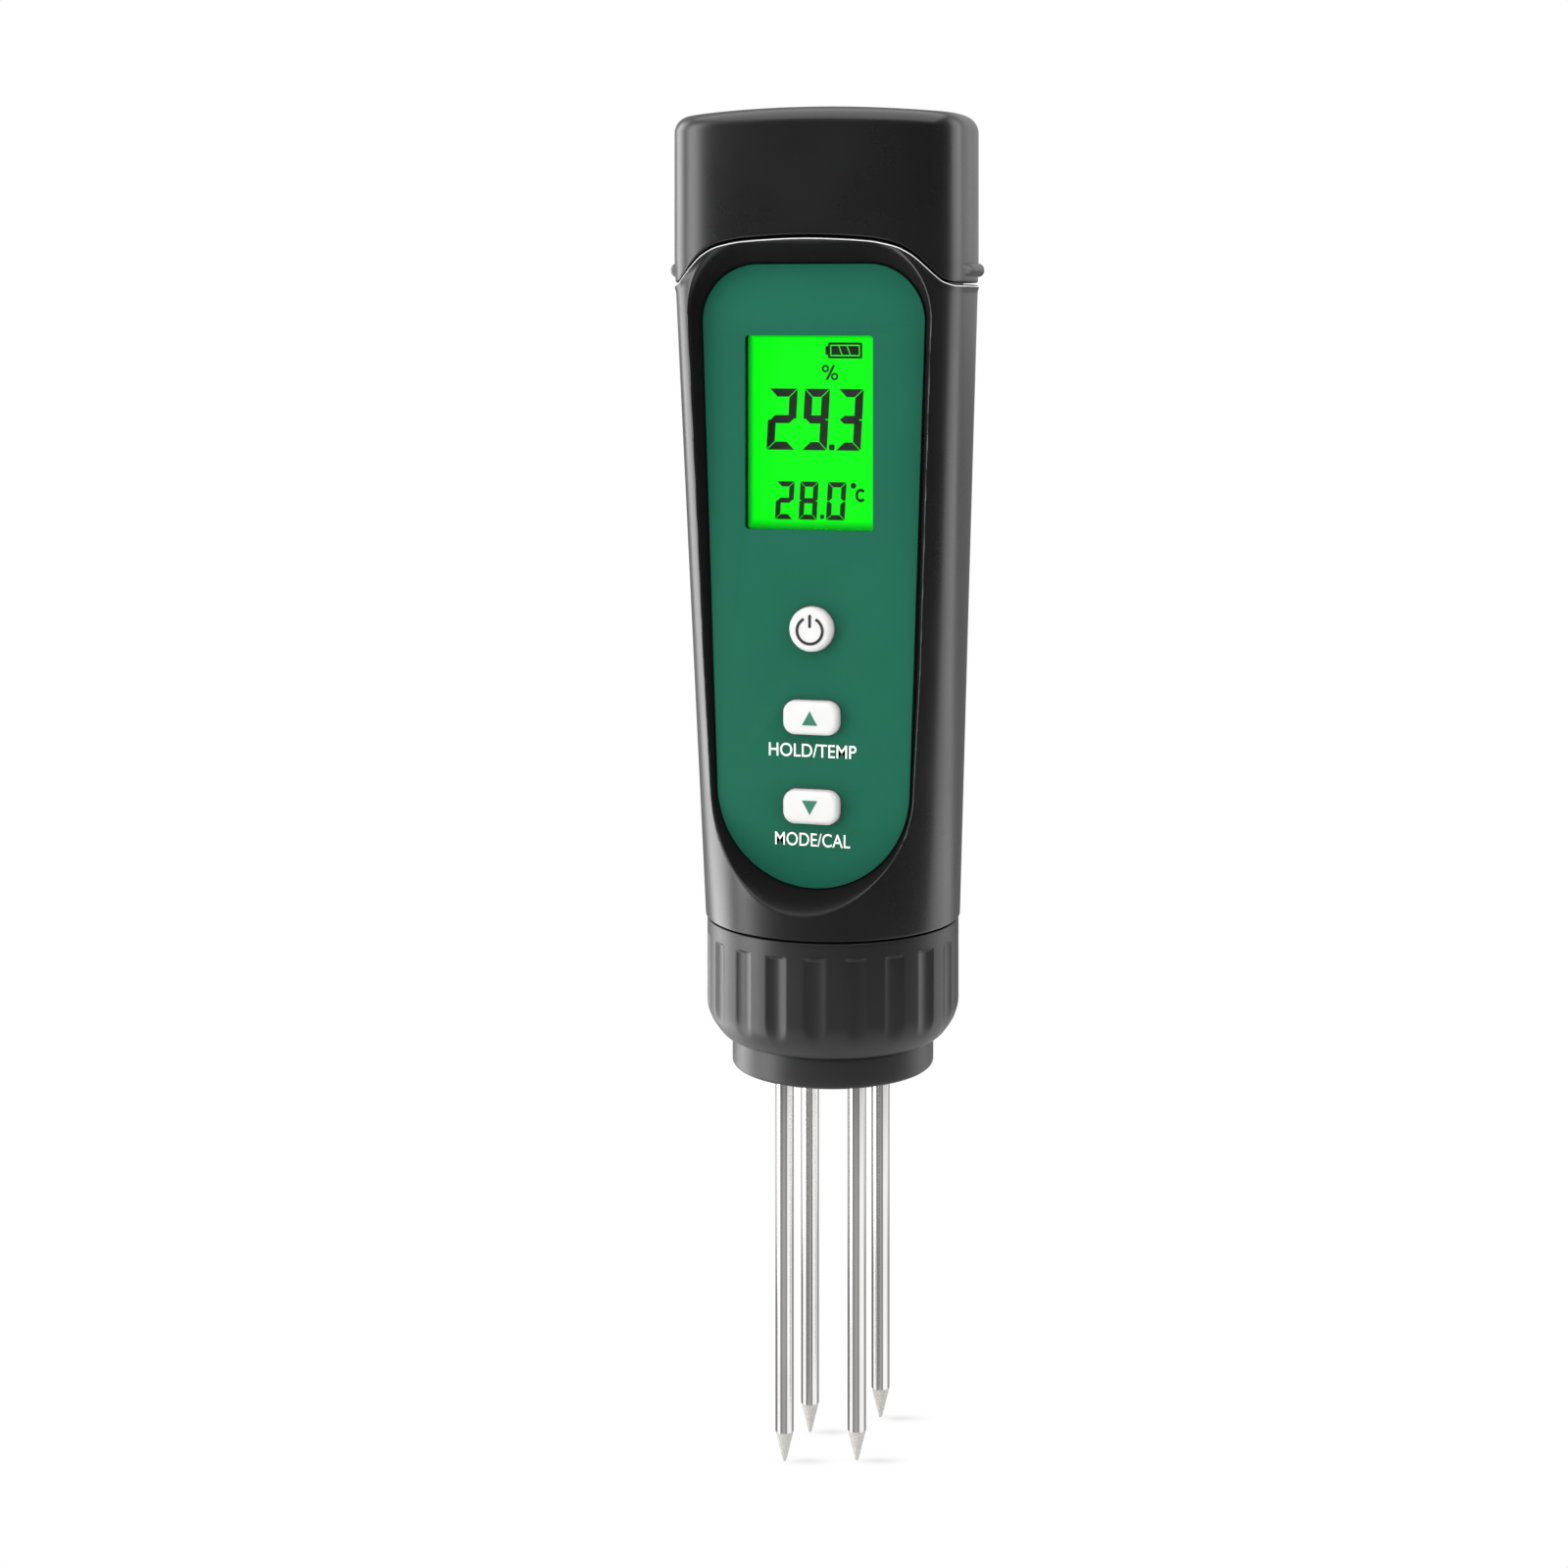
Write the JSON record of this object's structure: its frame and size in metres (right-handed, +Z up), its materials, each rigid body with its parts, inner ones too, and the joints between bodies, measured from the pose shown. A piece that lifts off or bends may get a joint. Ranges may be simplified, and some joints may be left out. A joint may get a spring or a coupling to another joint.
{
  "type": "soil moisture meter",
  "caption": "Pen-shaped soil moisture meter: black tapering body, green panel with lit display and white keys, pull-off battery cap, fluted collar and slender steel probe pins.",
  "frame": {"origin": "centre of the sensor head's flat lower face, where the probe pins come out", "axes": "+Z up the meter towards the battery cap, the display faces -Y, +X to the right as seen facing the display"},
  "size_m": [0.0408, 0.0342, 0.1815],
  "materials": {
    "black_abs": "fine grain, satin",
    "cap_abs": "satin",
    "collar_abs": "satin",
    "seal_rubber": "matte",
    "spring_steel": "nickel plated",
    "screw_steel": "zinc plated",
    "overlay_green": "printed film, satin",
    "window_clear": "clear acrylic",
    "lcd_glass": "liquid crystal glass",
    "backlight": "diffusing plate, green light",
    "frame_plastic": "moulded",
    "key_white": "silicone, satin",
    "stem_plastic": "moulded",
    "membrane": "silicone, matte",
    "board": "solder resist",
    "chip_black": "moulded",
    "cell_wrap": "printed sleeve",
    "resin": "potting resin",
    "contact_brass": "gold flash",
    "wire_cover": "insulation",
    "pin_steel": "polished, ground cones"
  },
  "bodies": {
    "main": {"main_housing": "black_abs", "front_overlay": "overlay_green", "display_window": "window_clear", "lcd_panel": "lcd_glass", "lcd_backlight": "backlight", "lcd_frame": "frame_plastic", "zebra_strip": "seal_rubber", "keypad_membrane": "membrane", "main_pcb": "board", "tact_switches": "chip_black", "microcontroller": "chip_black", "pcb_components": "chip_black", "pcb_screws": "screw_steel", "battery_tray": "frame_plastic", "batteries": "cell_wrap", "battery_contacts": "spring_steel", "battery_spring": "spring_steel", "tray_screws": "screw_steel", "socket_connector": "frame_plastic", "cap_seal_ring": "seal_rubber"},
    "cap": {"battery_cap": "cap_abs", "cap_contact_plate": "spring_steel", "cap_screws": "screw_steel", "cap_spring": "spring_steel"},
    "power_key": {"power_button": "key_white", "power_plunger": "stem_plastic"},
    "up_key": {"up_button": "key_white", "up_plunger": "stem_plastic"},
    "down_key": {"down_button": "key_white", "down_plunger": "stem_plastic"},
    "head": {"sensor_head": "black_abs", "potting": "resin", "thermistor": "resin", "head_o_ring": "seal_rubber", "seat_washer": "seal_rubber", "head_plug": "frame_plastic", "head_pins": "contact_brass", "lead_wires": "wire_cover", "probe_pin_front_left": "pin_steel", "probe_pin_front_right": "pin_steel", "probe_pin_rear_left": "pin_steel", "probe_pin_rear_right": "pin_steel"},
    "collar": {"collar_ring": "collar_abs"}
  },
  "joints": [
    {"name": "cap_lift", "type": "slide", "parent": "main", "child": "cap", "axis": [0, 0, 1], "range_m": [0, 0.03]},
    {"name": "power_press", "type": "slide", "parent": "main", "child": "power_key", "axis": [0, 1, 0], "range_m": [0, 0.0006], "stiffness_N_per_m": 400},
    {"name": "up_press", "type": "slide", "parent": "main", "child": "up_key", "axis": [0, 1, 0], "range_m": [0, 0.0006], "stiffness_N_per_m": 400},
    {"name": "down_press", "type": "slide", "parent": "main", "child": "down_key", "axis": [0, 1, 0], "range_m": [0, 0.0006], "stiffness_N_per_m": 400},
    {"name": "head_draw", "type": "slide", "parent": "main", "child": "head", "axis": [0, 0, -1], "range_m": [0, 0.006]},
    {"name": "collar_turn", "type": "hinge", "parent": "head", "child": "collar", "pos_m": [0, 0, 0.012], "axis": [0, 0, -1], "range_deg": [0, 1080]}
  ],
  "couplings": [
    {"joint": "collar_turn", "follows": "head_draw", "rad_per_m": 3141.6}
  ]
}
